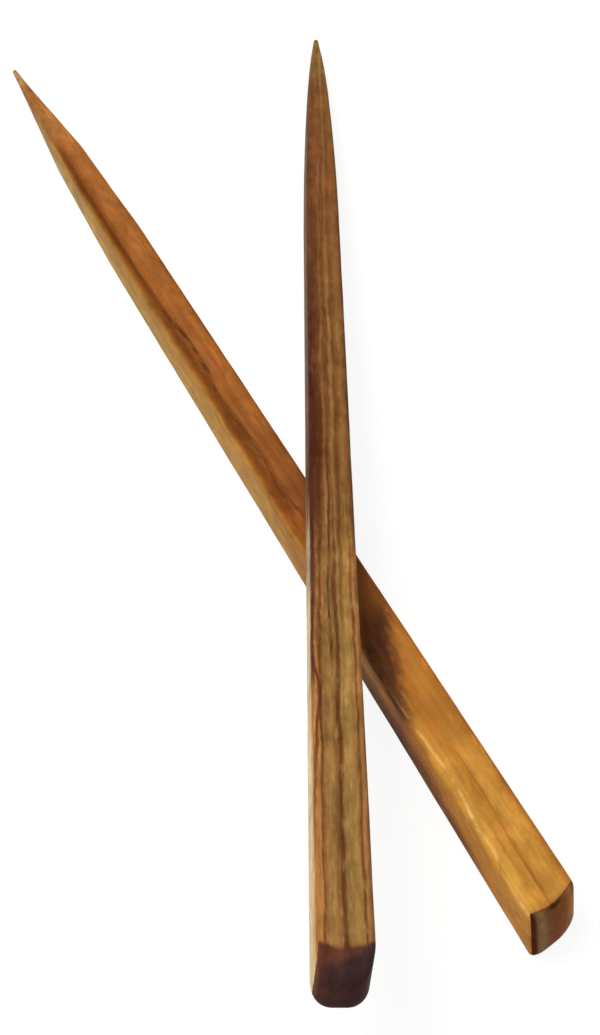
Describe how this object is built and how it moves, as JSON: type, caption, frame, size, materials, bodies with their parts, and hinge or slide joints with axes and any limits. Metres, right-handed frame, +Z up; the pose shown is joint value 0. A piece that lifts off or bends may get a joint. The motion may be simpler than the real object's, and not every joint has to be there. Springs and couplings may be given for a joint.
{
  "type": "pair of chopsticks",
  "caption": "Pair of square-sided tapered wooden chopsticks with sharpened tips and rounded butts, lying crossed.",
  "frame": {"origin": "on the surface that the pair lies on, below the point where the sticks' centre lines cross", "axes": "+Z up from the surface; +Y halfway between the sticks, towards their tips; +X to the right seen from the butts"},
  "size_m": [0.071, 0.2341, 0.0242],
  "materials": {
    "lower_wood": "oiled, semi-gloss, orange-brown streaked grain",
    "upper_wood": "oiled, semi-gloss, dark streaked grain with a dark end"
  },
  "bodies": {
    "root": {"lower_chopstick": "lower_wood", "upper_chopstick": "upper_wood"}
  },
  "joints": []
}
